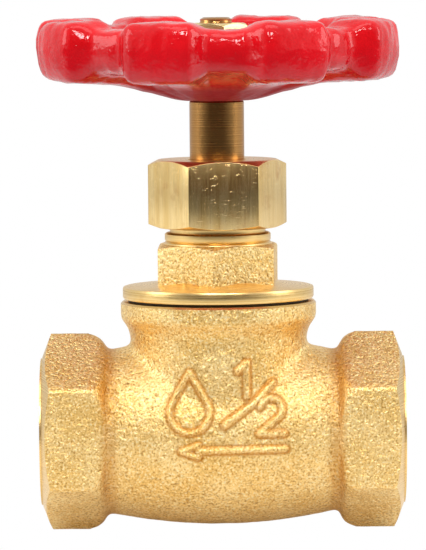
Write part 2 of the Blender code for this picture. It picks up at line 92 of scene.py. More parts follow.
class Shade:
    """A socket of the material in hand. Arithmetic on it adds Math nodes."""

    tree = None

    def __init__(self, socket):
        self.socket = socket

    @staticmethod
    def node(kind, settings, values, output=0):
        """Adds a node with its settings, fills its inputs and gives back one of its outputs."""
        made = Shade.tree.nodes.new(kind)
        for key, value in settings.items():
            if key == "stops":
                ramp = made.color_ramp.elements
                while len(ramp) < len(value):
                    ramp.new(0.5)
                for stop, (place, colour) in zip(ramp, value):
                    stop.position = place
                    stop.color = (*colour, 1) if isinstance(colour, tuple) else (colour,) * 3 + (1,)
            else:
                setattr(made, key, value)
        for key, value in values.items():
            if isinstance(value, Shade):
                Shade.tree.links.new(value.socket, made.inputs[key])
            else:
                made.inputs[key].default_value = value
        return Shade(made.outputs[output])

    @staticmethod
    def maths(operation, first, second):
        return Shade.node("ShaderNodeMath", {"operation": operation}, {0: first, 1: second})

    def __add__(self, other):
        return Shade.maths("ADD", self, other)

    def __radd__(self, other):
        return Shade.maths("ADD", other, self)

    def __sub__(self, other):
        return Shade.maths("SUBTRACT", self, other)

    def __rsub__(self, other):
        return Shade.maths("SUBTRACT", other, self)

    def __mul__(self, other):
        return Shade.maths("MULTIPLY", self, other)

    def __rmul__(self, other):
        return Shade.maths("MULTIPLY", other, self)

    def __pow__(self, other):
        return Shade.maths("POWER", self, other)

    def steps(self, *stops):
        """Colour or grey ramp over the value."""
        return Shade.node("ShaderNodeValToRGB", {"stops": stops}, {0: self})


def new_material(name):
    """Starts a material: later nodes go into it. Gives it back with its shader."""
    material = bpy.data.materials.new(name)
    material.use_nodes = True
    Shade.tree = material.node_tree
    return material, material.node_tree.nodes["Principled BSDF"]


def feed(shader, **sockets):
    """Sets sockets of a shader by name, with _ for a space: a Shade is linked."""
    for name, value in sockets.items():
        socket = shader.inputs[name.replace("_", " ")]
        if isinstance(value, Shade):
            Shade.tree.links.new(value.socket, socket)
        else:
            socket.default_value = value


def spread(value, start, end, at_start=0.0, at_end=1.0):
    """Brings a length between two places, in millimetres, to a share, held beyond both."""
    return Shade.node("ShaderNodeMapRange", {}, {
        0: value, 1: start * MM, 2: end * MM, 3: at_start, 4: at_end})


def seen_white(kept, white_kind, output):
    """Plain white to the camera, while light and reflections still get what was there."""
    to_camera = Shade.node("ShaderNodeLightPath", {}, {}, "Is Camera Ray")
    white = Shade.node(white_kind, {}, {"Color": (1, 1, 1, 1), "Strength": WHITE_LEVEL})
    choice = Shade.node("ShaderNodeMixShader", {}, {0: to_camera, 1: Shade(kept.outputs[0]), 2: white})
    Shade.tree.links.new(choice.socket, output.inputs["Surface"])


world = bpy.data.worlds.new("studio")
bpy.context.scene.world = world
world.use_nodes = True
Shade.tree = world.node_tree
direction = Shade.node("ShaderNodeTexCoord", {}, {}, "Generated")
away = Shade.node("ShaderNodeSeparateXYZ", {}, {0: direction}, "Y") * 0.5 + 0.5
sky = world.node_tree.nodes["Background"]
feed(sky, Color=away.steps((0.06, BEHIND_CAMERA), (0.27, 1.0)), Strength=STUDIO_LEVEL)
seen_white(sky, "ShaderNodeBackground", world.node_tree.nodes["World Output"])

bpy.ops.mesh.primitive_circle_add(vertices=96, radius=FLOOR_RADIUS * MM, fill_type="NGON",
                                  location=(0, 0, FLOOR_LEVEL * MM))
floor = bpy.context.object
floor.name = "floor"
floor_paint, floor_shader = new_material("pale_floor")
floor_place = Shade.node("ShaderNodeTexCoord", {}, {}, "Object")
floor_depth = Shade.node("ShaderNodeSeparateXYZ", {}, {0: floor_place}, "Y")
feed(floor_shader, Roughness=0.8,
     Base_Color=spread(floor_depth, FLOOR_DARK_UP_TO, FLOOR_PALE_FROM, 0.05, 0.85))
seen_white(floor_shader, "ShaderNodeEmission", floor_paint.node_tree.nodes["Material Output"])
floor.data.materials.append(floor_paint)


# ---- Body casting ----------------------------------------------------------------------------
# One sand casting in yellow brass: a round globe with a wide neck and a hexagon at each end.
# It is blasted, then its end faces, pipe threads, bores and collar face are machined. The size
# and a flow arrow stand up from its front, beside a plain water drop.


def place_on_piece(stretch=(1, 1, 1)):
    """Place on the piece in metres, stretched for a grain that runs one way."""
    place = Shade.node("ShaderNodeTexCoord", {}, {}, "Object")
    return Shade.node("ShaderNodeMapping", {}, {"Vector": place, "Scale": stretch})


def grain(size_mm, detail=2.0, place=None, rough=0.5):
    """Noise between 0 and 1 with lumps about one size across."""
    return Shade.node("ShaderNodeTexNoise", {}, {
        "Vector": place or place_on_piece(), "Scale": 1 / (size_mm * MM), "Detail": detail,
        "Roughness": rough,
    }, 0)


def mix(share, first, second):
    """Colour between two others."""
    return Shade.node("ShaderNodeMix", {"data_type": "RGBA"}, {0: share, 6: first, 7: second}, 2)


def bump(height, depth_mm, strength=1.0):
    return Shade.node("ShaderNodeBump", {}, {
        "Height": height, "Distance": depth_mm * MM, "Strength": strength})


DULL_GOLD = (0.87, 0.57, 0.185, 1)
PALE_GOLD = (0.95, 0.69, 0.29, 1)
PIT_BROWN = (0.52, 0.27, 0.06, 1)
GRAIN_GLINT = (1.0, 0.86, 0.50, 1)
RECESS_SHADE_BROWN = (0.50, 0.20, 0.02, 1)
OIL_STAIN = (0.50, 0.20, 0.04, 1)
RING_SPACING = 0.16


def cast_brass():
    """Blasted casting: pale gold, peppered with fine pits, with painted shade in warm brown at the foot
    of the relief and beside the hexagons.
    """
    material, shader = new_material("cast_brass")
    fine = grain(0.33, 3)
    coarse = grain(0.75, 2)
    cloud = grain(7, 2)
    pits = coarse.steps((0.30, 0.0), (0.46, 1.0))
    # Painted shade, read from a vertex value set on the body: the recesses at the foot of the marks and
    # beside the hexagons.
    kept = Shade.node("ShaderNodeAttribute", {"attribute_name": "dirt"}, {}, "Fac")
    colour = mix(cloud.steps((0.35, 0.0), (0.65, 1.0)), DULL_GOLD, PALE_GOLD)
    colour = mix(fine.steps((0.34, 1.0), (0.48, 0.0)) * 0.85, colour, PIT_BROWN)
    colour = mix(fine.steps((0.54, 0.0), (0.64, 1.0)) * 0.8, colour, GRAIN_GLINT)
    # Painted shade: warm brown in those recesses.
    colour = mix(kept * 0.8, colour, RECESS_SHADE_BROWN)
    relief = fine * 0.7 + pits * 0.5 + coarse * 0.6
    feed(shader, Base_Color=colour, Metallic=1.0, Roughness=0.30 + 0.22 * fine + 0.1 * kept,
         Normal=bump(relief, 0.20, 1.0))
    return material


def turned_brass(name, light, dark, roughness, depth_mm=0.012):
    """Machined brass: fine tool rings that follow the turning, on round and on flat faces."""
    material, shader = new_material(name)
    place = place_on_piece()
    x, y, z = (Shade.node("ShaderNodeSeparateXYZ", {}, {0: place}, axis) for axis in "XYZ")
    radius = (x * x + y * y) ** 0.5
    rings = Shade.node("ShaderNodeTexNoise", {"noise_dimensions": "1D"}, {
        "W": radius + z * 1.3, "Scale": 1 / (RING_SPACING * MM), "Detail": 3.0}, 0)
    stain = grain(2.5, 3)
    colour = mix(rings.steps((0.35, 0.0), (0.68, 1.0)), dark, light)
    colour = mix(stain.steps((0.60, 0.0), (0.80, 1.0)) * 0.35, colour, OIL_STAIN)
    feed(shader, Base_Color=colour, Metallic=1.0,
         Roughness=roughness + 0.18 * rings + 0.1 * stain, Normal=bump(rings, depth_mm))
    return material


CAST = cast_brass()
TURNED = turned_brass("turned_brass", (0.95, 0.72, 0.33, 1), (0.76, 0.48, 0.15, 1), 0.16)


def select_only(active, *others):
    """Leaves these pieces selected and the first of them active."""
    bpy.ops.object.select_all(action="DESELECT")
    for piece in (active, *others):
        piece.select_set(True)
    bpy.context.view_layer.objects.active = active


def apply_place(piece):
    """Moves a piece's turn and place into its mesh."""
    select_only(piece)
    bpy.ops.object.transform_apply(location=True, rotation=True, scale=True)


def dress(piece, *finishes, use=0):
    """Gives a piece its material slots, and all its faces the one in use."""
    piece.data.materials.clear()
    for finish in finishes:
        piece.data.materials.append(finish)
    piece.data.polygons.foreach_set("material_index", [use] * len(piece.data.polygons))
    return piece


def turned(name, outline, steps=96):
    """Extrudes a point along an outline of (radius, height) and spins the line round Z."""
    bpy.ops.object.select_all(action="DESELECT")
    bpy.ops.mesh.primitive_plane_add(size=MM)
    piece = bpy.context.object
    piece.name = piece.data.name = name
    bpy.ops.object.mode_set(mode="EDIT")
    bpy.ops.mesh.select_mode(type="VERT")
    bpy.ops.mesh.merge(type="CENTER")
    bpy.ops.transform.translate(value=(outline[0][0] * MM, 0, outline[0][1] * MM))
    for (radius, height), (next_radius, next_height) in zip(outline, outline[1:]):
        step = ((next_radius - radius) * MM, 0, (next_height - height) * MM)
        bpy.ops.mesh.extrude_vertices_move(TRANSFORM_OT_translate={"value": step})
    bpy.ops.mesh.select_all(action="SELECT")
    bpy.ops.mesh.spin(steps=steps, angle=math.tau, center=(0, 0, 0), axis=(0, 0, 1))
    bpy.ops.mesh.select_all(action="SELECT")
    bpy.ops.mesh.remove_doubles(threshold=0.001 * MM)
    bpy.ops.mesh.select_all(action="SELECT")
    bpy.ops.mesh.normals_make_consistent(inside=False)
    bpy.ops.object.mode_set(mode="OBJECT")
    return piece


NEAR = 0.01


def points_of(piece):
    """Vertex places in millimetres, one row each."""
    flat = np.empty(len(piece.data.vertices) * 3)
    piece.data.vertices.foreach_get("co", flat)
    return flat.reshape(-1, 3) / MM


def move_points(piece, points):
    piece.data.vertices.foreach_set("co", (points * MM).ravel())
    piece.data.update()


def normals_of(piece):
    flat = np.empty(len(piece.data.vertices) * 3)
    piece.data.vertices.foreach_get("normal", flat)
    return flat.reshape(-1, 3)


def rows(side, spacing):
    """Closely spaced outline points down a side of (radius, top, bottom), to wind a thread on."""
    radius, high, low = side
    count = max(2, round((high - low) / spacing))
    return [(radius, high + (low - high) * k / count) for k in range(count + 1)]


def wind(piece, side, pitch, depth, rounded=False, inside=False):
    """Winds a right-hand thread on a turned side. At both ends it runs out, so that it clears
    its mate: an outside thread down to its root, and an inside one out to its full depth."""
    radius, high, low = side
    high, low = high + NEAR, low - NEAR
    points = points_of(piece)
    reach = np.hypot(points[:, 0], points[:, 1])
    on_thread = (np.abs(reach - radius) < 2 * NEAR) & (points[:, 2] > low) & (points[:, 2] < high)
    turn = points[:, 2] / pitch - np.arctan2(points[:, 1], points[:, 0]) / math.tau
    wave = np.cos(turn * math.tau) if rounded else 4 * np.abs(turn % 1 - 0.5) - 1
    fade = np.clip((high - points[:, 2]) / pitch, 0, 1) * np.clip((points[:, 2] - low) / pitch, 0, 1)
    height = wave * fade + (1 if inside else -1) * (1 - fade)
    factor = np.where(on_thread, 1 + height * depth / 2 / np.maximum(reach, 0.1), 1)
    points[:, :2] *= factor[:, None]
    move_points(piece, points)


def apply_modifier(piece, kind, **settings):
    """Adds a modifier with its settings and applies it at once."""
    modifier = piece.modifiers.new(kind, kind)
    for key, value in settings.items():
        setattr(modifier, key, value)
    select_only(piece)
    bpy.ops.object.modifier_apply(modifier=modifier.name)


def combine(piece, tool, operation="DIFFERENCE"):
    """Applies an exact Boolean and throws the tool away."""
    apply_modifier(piece, "BOOLEAN", operation=operation, solver="EXACT", object=tool)
    bpy.data.objects.remove(tool)
    return piece


def prism(name, sides, flats, low, high, turn_degrees):
    """Straight bar with a width across its flats. At 0 degrees a corner points to the front."""
    radius = flats / 2 / math.cos(math.pi / sides) * MM
    bpy.ops.object.select_all(action="DESELECT")
    bpy.ops.mesh.primitive_cylinder_add(
        vertices=sides, radius=radius, depth=(high - low) * MM, location=(0, 0, (low + high) / 2 * MM),
        rotation=(0, 0, math.radians(turn_degrees)))
    piece = bpy.context.object
    piece.name = piece.data.name = name
    apply_place(piece)
    return piece


def lay_along_pipe(piece, towards_inlet=True, face=0.0):
    """Turns a piece made along Z to lie along the pipe, its zero height at the given face."""
    piece.rotation_euler = (0, math.radians(90 if towards_inlet else -90), 0)
    piece.location = (face * MM, 0, 0)
    apply_place(piece)
    return piece


def smooth_edges(piece, degrees=32):
    """Closes what a Boolean left doubled, then smooths every edge under an angle."""
    select_only(piece)
    bpy.ops.object.mode_set(mode="EDIT")
    bpy.ops.mesh.select_all(action="SELECT")
    bpy.ops.mesh.remove_doubles(threshold=0.0005 * MM)
    bpy.ops.object.mode_set(mode="OBJECT")
    bpy.ops.object.shade_smooth_by_angle(angle=math.radians(degrees))


INLET_FACE = 29.2
OUTLET_FACE = -28.1
END_FLATS = 27.0
END_LENGTH = 10.4
BELLY_RADIUS = 14.75
BELLY_TAPER = 0.0062
NECK_RADIUS = 13.85
COLLAR_RADIUS = 15.4
COLLAR_TOP = 20.6
CASTING_VOXEL = 0.42


def end_hexagon(name, face, towards_inlet):
    """Cast hexagon end, longer than it will be once its face is machined."""
    blank = turned(name, [(0, 1), (15.6, 1), (15.6, -7.6), (15.3, -8.6), (14.7, -9.5), (13.8, -10.1),
                          (12.6, -END_LENGTH), (0, -END_LENGTH)])
    flats = prism(name + "_flats", 6, END_FLATS, -END_LENGTH - 1, 2, 30)
    return lay_along_pipe(combine(blank, flats, "INTERSECT"), towards_inlet, face)


belly_side = [(BELLY_RADIUS - BELLY_TAPER * x * x, x) for x in np.linspace(20, -20, 33)]
body = lay_along_pipe(turned("body_visual", [(0, 20), *belly_side, (0, -20)]))
collar_bottom = COLLAR_TOP - 3.0
neck = turned("neck", [
    (0, COLLAR_TOP + 0.8), (COLLAR_RADIUS, COLLAR_TOP + 0.8), (COLLAR_RADIUS, collar_bottom + 0.5),
    (COLLAR_RADIUS - 0.3, collar_bottom), (14.6, collar_bottom - 0.7), (14.1, collar_bottom - 1.6),
    (NECK_RADIUS, collar_bottom - 3.0), (NECK_RADIUS, 0), (0, 0)])
ends = [end_hexagon("inlet_end", INLET_FACE, True), end_hexagon("outlet_end", OUTLET_FACE, False)]
select_only(body, neck, *ends)
bpy.ops.object.join()
apply_modifier(body, "REMESH", mode="VOXEL", voxel_size=CASTING_VOXEL * MM)


def smoothstep(low, high, value):
    """Soft step from 0 at the low value to 1 at the high one."""
    share = np.clip((value - low) / (high - low), 0, 1)
    return share * share * (3 - 2 * share)


def soften(piece, weight, rounds):
    """Smooths a mesh where a weight for each vertex says so."""
    group = piece.vertex_groups.new(name="soft")
    for index in np.flatnonzero(weight > 0.01):
        group.add([int(index)], float(weight[index]), "REPLACE")
    apply_modifier(piece, "SMOOTH", factor=0.5, iterations=rounds, vertex_group="soft")
    piece.vertex_groups.remove(piece.vertex_groups["soft"])


def from_hexagons(points, outlet_root, inlet_root):
    """Distance along the pipe from where the nearer end hexagon begins."""
    return np.minimum(np.abs(points[:, 0] - outlet_root), np.abs(points[:, 0] - inlet_root))


# The mould's fillets: a wide one where the neck leaves the belly, a small one at each hexagon.
points = points_of(body)
from_stem = np.hypot(points[:, 0], points[:, 1])
from_pipe = np.hypot(points[:, 1], points[:, 2])
at_neck = 1 - smoothstep(1.5, 4.0, np.hypot(
    from_stem - NECK_RADIUS, from_pipe - (BELLY_RADIUS - BELLY_TAPER * points[:, 0] ** 2)))
at_hexagons = 1 - smoothstep(1.2, 2.8, from_hexagons(points, -17.5, 18.6))
low_enough = 1 - smoothstep(14.5, 17.0, points[:, 2])
soften(body, np.maximum(at_neck * low_enough, 0.75 * at_hexagons), 22)
soften(body, np.ones(len(body.data.vertices)), 3)


def arc(centre, radius, start, end, count):
    """Points along an arc in the front view, angles in degrees."""
    return [(centre[0] + radius * math.cos(math.radians(start + (end - start) * k / count)),
             centre[1] + radius * math.sin(math.radians(start + (end - start) * k / count)))
            for k in range(count + 1)]


# Cast marks, as strokes of (x, z) points with a half width: a one, its slash, a two, the flow
# arrow's shaft and head, and a water drop.
DROP_CENTRE = (-4.6, 4.2)
DROP_TIP = (-4.6, 10.4)
drop = [DROP_TIP, *arc(DROP_CENTRE, 3.1, 25, -205, 14), DROP_TIP]
MARKS = [
    (0.50, [(2.9, 10.6), (4.3, 11.9), (4.3, 6.6)]),
    (0.55, [(8.3, 8.6), (5.4, 5.6), (0.8, 2.3)]),
    (0.50, [*arc((8.0, 4.6), 1.75, 165, -30, 8), (6.2, 0.9), (10.0, 0.9)]),
    (0.50, [(-3.4, -1.7), (10.2, -1.5)]),
    (0.42, [(-6.0, -1.8), (-3.3, -0.8), (-3.3, -2.7), (-6.0, -1.8)]),
    (0.45, drop),
]
MARK_HEIGHT = 0.55
MARKED_SIDE = -6.0
FAR_OFF = 9.0
SKIN_LUMPS = 0.045


def distance_to_strokes(points):
    """How far points lie outside the marks' strokes, seen from the front."""
    nearest = np.full(len(points), FAR_OFF)
    for half_width, line in MARKS:
        for start, end in zip(line, line[1:]):
            start = np.array(start)
            along = np.array(end) - start
            offset = points - start
            share = np.clip(offset @ along / max(along @ along, 1e-9), 0, 1)
            gap = np.linalg.norm(offset - share[:, None] * along, axis=1) - half_width
            nearest = np.minimum(nearest, gap)
    return nearest


# The mould's letters are finer than its skin, so the mesh is halved there before they rise.
bpy.ops.object.mode_set(mode="EDIT")
bpy.ops.mesh.select_mode(type="FACE")
bpy.ops.mesh.select_all(action="DESELECT")
bpy.ops.object.mode_set(mode="OBJECT")
centres = np.empty(len(body.data.polygons) * 3)
body.data.polygons.foreach_get("center", centres)
centres = centres.reshape(-1, 3) / MM
near = distance_to_strokes(centres[:, [0, 2]]) < 1.2
body.data.polygons.foreach_set("select", near & (centres[:, 1] < MARKED_SIDE))
bpy.ops.object.mode_set(mode="EDIT")
bpy.ops.mesh.subdivide(number_cuts=1)
bpy.ops.object.mode_set(mode="OBJECT")

points = points_of(body)
gap = np.where(points[:, 1] < MARKED_SIDE, distance_to_strokes(points[:, [0, 2]]), FAR_OFF)
lumps = np.array([noise.noise(Vector(p) * 0.45) + 0.5 * noise.noise(Vector(p) * 1.1)
                  for p in points])
rise = MARK_HEIGHT * (1 - smoothstep(-0.42, 0.22, gap)) + SKIN_LUMPS * lumps
points += normals_of(body) * rise[:, None]
move_points(body, points)
# Painted shade, kept on the vertices: a band just outside each mark's strokes, and the creases where the
# hexagons meet the belly.
dirt = body.data.attributes.new("dirt", "FLOAT", "POINT")
mark_edge_shade = np.exp(-((gap - 0.20) / 0.22) ** 2)
crevice_shade = 0.55 * (1 - smoothstep(0.3, 2.0, from_hexagons(points, -17.3, 18.4)))
dirt.data.foreach_set("value", np.clip(mark_edge_shade + crevice_shade, 0, 1))
dress(body, CAST, TURNED)


def body_tool(name, outline, machined, steps=96):
    """Turned cutter that leaves either a machined or a cast face behind."""
    return dress(turned(name, outline, steps), CAST, TURNED, use=1 if machined else 0)


# Machining: both end faces with their cones and raised lands, and the collar's face.
for face, towards_inlet in ((INLET_FACE, True), (OUTLET_FACE, False)):
    tool = body_tool("facing_tool", [
        (0, 3), (24, 3), (24, -5.0), (15.0, -1.45), (11.95, -0.28), (11.6, -0.25), (11.6, 0), (0, 0)],
        True, 128)
    combine(body, lay_along_pipe(tool, towards_inlet, face))
combine(body, body_tool("collar_tool", [
    (0, 24), (20, 24), (20, COLLAR_TOP - 5.0), (COLLAR_RADIUS - 0.3, COLLAR_TOP), (0, COLLAR_TOP)], True))

# Pipe threads, passages and chambers. The seat stands up as a ring in the upper chamber's floor.
PIPE_PITCH = 1.814
PIPE_THREAD_DEPTH = 1.1
PIPE_SIDE = (9.9, -1.0, -12.0)
PASSAGE_RADIUS = 9.3
for face, wall, towards_inlet in ((INLET_FACE, 13.2, True), (OUTLET_FACE, -12.6, False)):
    depth = abs(face - wall)
    tool = body_tool("socket_tool", [
        (0, 1), (11.8, 1), (10.8, 0), (10.5, -0.6), *rows(PIPE_SIDE, 0.26),
        (PASSAGE_RADIUS, -12.6), (PASSAGE_RADIUS, -depth), (0, -depth)], True, 128)
    wind(tool, PIPE_SIDE, PIPE_PITCH, PIPE_THREAD_DEPTH, inside=True)
    combine(body, lay_along_pipe(tool, towards_inlet, face))


def chamber(name, radius, level, start, end):
    """Round passage along the pipe, cut off flat by the wall that carries the seat."""
    tool = body_tool(name, [(0, end), (radius, end), (radius, start), (0, start)], False, 64)
    lay_along_pipe(tool)
    bpy.ops.object.mode_set(mode="EDIT")
    bpy.ops.mesh.select_all(action="SELECT")
    below = level < 0
    bpy.ops.mesh.bisect(plane_co=(0, 0, level * MM), plane_no=(0, 0, 1), use_fill=True,
                        clear_inner=not below, clear_outer=below)
    bpy.ops.object.mode_set(mode="OBJECT")
    return tool


combine(body, chamber("lower_chamber", 11.6, -2.0, -9.8, 14.0))
combine(body, body_tool("upper_chamber", [
    (0, 22), (11.4, 22), (11.4, 13.0), (10.6, 12.5), (10.6, 1.0), (6.7, 1.0), (6.7, 1.5),
    (6.4, 1.8), (0, 1.8)], False))
combine(body, chamber("outlet_window", 9.0, 1.3, -14.0, -7.2))
combine(body, body_tool("port", [(0, 3), (5.7, 3), (5.7, 1.9), (5.5, 1.7), (5.5, -3), (0, -3)], True))
smooth_edges(body, 38)
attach(body, "valve_body")
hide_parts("body")


# ---- Bonnet and its gasket -------------------------------------------------------------------
# The bonnet is a second casting: its hexagon keeps the blasted skin, and its flange, ring,
# threads and bores are turned. It screws into the collar on a thin dark fibre ring.

BONNET_TURN = -4.0
BONNET_FLATS = 18.2
FLANGE_RADIUS = 15.05
SCREW_PITCH = 1.5
SCREW_DEPTH = 0.7
SPIGOT_SIDE = (7.95, 39.6, 32.1)
COLLAR_SIDE = (11.0, 19.8, 15.6)
STEM_LEAD = 2.0
STEM_THREAD_DEPTH = 0.9


def hexagon_blank(name, flats, low, high, turn_degrees, chamfer_top, chamfer_bottom):
    """Hexagon whose corners are turned down to a cone at the top and at the bottom."""
    corner = flats / 2 / math.cos(math.pi / 6)
    reach = corner + 0.2
    inner = flats / 2 * 0.985
    outline = [(0, high)]
    outline += [(inner, high), (reach, high - chamfer_top)] if chamfer_top else [(reach, high)]
    outline += [(reach, low + chamfer_bottom), (inner, low)] if chamfer_bottom else [(reach, low)]
    outline += [(0, low)]
    bar = prism(name + "_flats", 6, flats, low - 1, high + 1, turn_degrees)
    return combine(turned(name, outline, 128), bar, "INTERSECT")


bonnet = dress(turned("bonnet_visual", [
    (0, 40.0), (7.6, 40.0), *rows(SPIGOT_SIDE, 0.25), (7.55, 31.9), (7.55, 31.5), (8.1, 31.4),
    (8.35, 31.2), (8.35, 30.3), (8.2, 30.05), (8.45, 29.85), (8.6, 29.5), (8.6, 24.2),
    (9.6, 23.55), (11.0, 23.25), (14.65, 22.95), (14.95, 22.85), (FLANGE_RADIUS, 22.6),
    (FLANGE_RADIUS, 21.35),
    (14.9, 21.05), (14.7, 21.0), (10.6, 21.0), (10.6, 20.2), *rows(COLLAR_SIDE, 0.25),
    (10.6, 15.2), (0, 15.2)], 128), CAST, TURNED, use=1)
wind(bonnet, SPIGOT_SIDE, SCREW_PITCH, SCREW_DEPTH)
wind(bonnet, COLLAR_SIDE, SCREW_PITCH, SCREW_DEPTH)


def round_edges(piece, width, segments, degrees=30):
    """Bevels the edges that are sharper than an angle."""
    apply_modifier(piece, "BEVEL", width=width * MM, segments=segments, limit_method="ANGLE",
                   angle_limit=math.radians(degrees))


flats = hexagon_blank("bonnet_hexagon", BONNET_FLATS, 22.6, 29.65, BONNET_TURN, 0.75, 0)
round_edges(flats, 0.35, 3, 40)
combine(bonnet, dress(flats, CAST, TURNED), "UNION")

# The bore's thread goes right through its narrow part, so it is wound past both ends of it.
BORE_RADIUS = 5.0
bonnet_bore = turned("bonnet_bore", [
    (0, 41), (6.2, 41), (6.2, 34), (BORE_RADIUS, 34), *rows((BORE_RADIUS, 33.8, 22.2), 0.25),
    (BORE_RADIUS, 22), (7, 22), (8, 21), (8, 14), (0, 14)], 64)
wind(bonnet_bore, (BORE_RADIUS, 37.0, 19.0), STEM_LEAD, STEM_THREAD_DEPTH, rounded=True, inside=True)
combine(bonnet, dress(bonnet_bore, CAST, TURNED, use=1))
smooth_edges(bonnet)
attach(bonnet, "valve_body")
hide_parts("bonnet")


def fibre(name, colour, size_mm, roughness):
    """Pressed fibre or rubber: dull, with a fine mottle."""
    material, shader = new_material(name)
    mottle = grain(size_mm, 3)
    darker = tuple(part * 0.5 for part in colour[:3]) + (1,)
    feed(shader, Base_Color=mix(mottle, darker, colour), Roughness=roughness + 0.2 * mottle,
         Normal=bump(mottle, 0.03))
    return material


gasket = dress(turned("gasket_visual", [
    (11.65, 20.93), (14.1, 20.95), (14.2, 20.9), (14.2, 20.7), (14.1, 20.65), (11.65, 20.67),
    (11.65, 20.93)], 128), fibre("gasket_fibre", (0.06, 0.045, 0.03, 1), 0.3, 0.6))
smooth_edges(gasket)
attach(gasket, "valve_body")
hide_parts("bonnet_gasket")


# ---- Packing nut and packing -----------------------------------------------------------------
# The nut is cut from drawn hexagon bar: its flats keep the long drawing lines and a few knocks,
# and its ends are turned. Under it a bush presses three graphited rings on a washer.

NUT_TURN = 5.8
NUT_FLATS = 19.0
NUT_BOTTOM = 32.2
NUT_TOP = 42.9
NUT_SIDE = (8.25, 40.6, 32.9)
NUT_THREAD_DEPTH = 0.4
BAR_SHADE = (0.84, 0.58, 0.22, 1)
BAR_GOLD = (0.94, 0.71, 0.33, 1)
LINE_BROWN = (0.50, 0.26, 0.07, 1)
NICK_GLINT = (1.0, 0.86, 0.55, 1)
HAND_STAIN = (0.55, 0.24, 0.05, 1)


def drawn_brass():
    """Flat of a drawn bar: lines along the bar, small scratches across it, warm stains."""
    material, shader = new_material("drawn_brass")
    lines = grain(0.16, 3, place_on_piece((1, 1, 0.03)))
    bands = grain(1.4, 3, place_on_piece((1, 1, 0.12)))
    nicks = grain(0.5, 4, place_on_piece((0.35, 0.35, 2.2)), 0.7).steps((0.62, 0.0), (0.70, 1.0))
    stain = grain(3.0, 4, None, 0.6)
    colour = mix(bands.steps((0.35, 0.0), (0.65, 1.0)), BAR_SHADE, BAR_GOLD)
    colour = mix(lines.steps((0.30, 1.0), (0.50, 0.0)) * 0.35, colour, LINE_BROWN)
    colour = mix(nicks * 0.5, colour, NICK_GLINT)
    colour = mix(stain.steps((0.55, 0.0), (0.75, 1.0)) * 0.5, colour, HAND_STAIN)
    feed(shader, Base_Color=colour, Metallic=1.0, Roughness=0.12 + 0.13 * lines + 0.10 * stain,
         Normal=bump(lines * 0.8 + bands * 0.3 + nicks * 0.4, 0.03, 0.8))
    return material


DRAWN = drawn_brass()
nut = hexagon_blank("packing_nut_visual", NUT_FLATS, NUT_BOTTOM, NUT_TOP, 30 + NUT_TURN, 0.9, 0.7)
round_edges(nut, 0.12, 2, 25)
dress(nut, DRAWN, TURNED)
nut_bore = turned("nut_bore", [
    (0, 44), (5.0, 44), (4.6, 42.6), (4.6, 41), (8.0, 41), *rows(NUT_SIDE, 0.25),
    (8.9, 32.1), (8.9, 31), (0, 31)], 96)
wind(nut_bore, NUT_SIDE, SCREW_PITCH, NUT_THREAD_DEPTH, inside=True)
combine(nut, dress(nut_bore, DRAWN, TURNED, use=1))
for face in nut.data.polygons:
    if abs(face.normal.z) > 0.3:
        face.material_index = 1
smooth_edges(nut)
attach(nut, "valve_body")
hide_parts("packing_nut")


def repaint(node, material):
    """A CAD node whose shape is right keeps it and takes a finish."""
    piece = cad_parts[node]
    for slot in piece.material_slots:
        slot.material = material


GRAPHITE = fibre("graphited_packing", (0.09, 0.09, 0.095, 1), 0.35, 0.4)
repaint("gland_follower", TURNED)
repaint("packing_base_washer", TURNED)
for number in (1, 2, 3):
    repaint(f"packing_ring_{number}", GRAPHITE)


# ---- Stem ------------------------------------------------------------------------------------
# Turned from brass bar: a plain end with a groove, a coarse right-hand thread that works in the
# bonnet, a polished shank through the packing, a square for the wheel and a stud for its nut.

SHANK_RADIUS = 4.3
STEM_SIDE = (4.7, 33.25, 20.0)
STUD_SIDE = (2.7, 64.6, 61.2)
STUD_PITCH = 0.9
STUD_THREAD_DEPTH = 0.45
STEM_TOP = 65.2
SQUARE_FLATS = 5.95

SHANK = turned_brass("stem_brass", (0.66, 0.36, 0.12, 1), (0.44, 0.21, 0.06, 1), 0.09, 0.004)
stem = turned("stem_visual", [
    (0, 53.5), (2.5, 53.5), (2.5, 52.1), (4.15, 52.1), (SHANK_RADIUS, 51.9), (SHANK_RADIUS, 33.5),
    *rows(STEM_SIDE, 0.2), (3.2, 19.2), (3.2, 16.45), (2.4, 16.4), (2.4, 14.95), (3.2, 14.9), (3.2, 14.6),
    (2.9, 14.3), (0, 14.3)], 64)
wind(stem, STEM_SIDE, STEM_LEAD, STEM_THREAD_DEPTH, rounded=True)
square = prism("stem_square", 4, SQUARE_FLATS, 51.6, 60.8, 45)
round_edges(square, 0.25, 2)
combine(stem, square, "UNION")
stud = turned("stem_stud", [
    (0, STEM_TOP), (2.0, STEM_TOP), (2.5, 64.9), *rows(STUD_SIDE, 0.12), (2.4, 60.9), (2.4, 60.0),
    (0, 60.0)], 64)
wind(stud, STUD_SIDE, STUD_PITCH, STUD_THREAD_DEPTH)
combine(stem, stud, "UNION")
dress(stem, SHANK)
smooth_edges(stem)
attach(stem, "spindle")
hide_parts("stem")


def spring_steel():
    material, shader = new_material("spring_steel")
    streaks = grain(0.3, 3, place_on_piece((1, 1, 6)))
    feed(shader, Base_Color=mix(streaks, (0.42, 0.42, 0.43, 1), (0.66, 0.66, 0.64, 1)), Metallic=1.0,
         Roughness=0.25 + 0.2 * streaks, Normal=bump(streaks, 0.01))
    return material


repaint("stem_ring", spring_steel())


# ---- Disc and its holder ---------------------------------------------------------------------
# The holder swivels on the stem's end, kept by a slotted ring nut. It carries a rubber disc,
# clamped by a slotted screw and its washer. None of it shows with the bonnet in place.

for node in ("disc_holder", "disc_holder_nut", "disc_washer", "disc_screw"):
    repaint(node, TURNED)
repaint("seat_disc", fibre("disc_rubber", (0.045, 0.045, 0.045, 1), 0.5, 0.45))
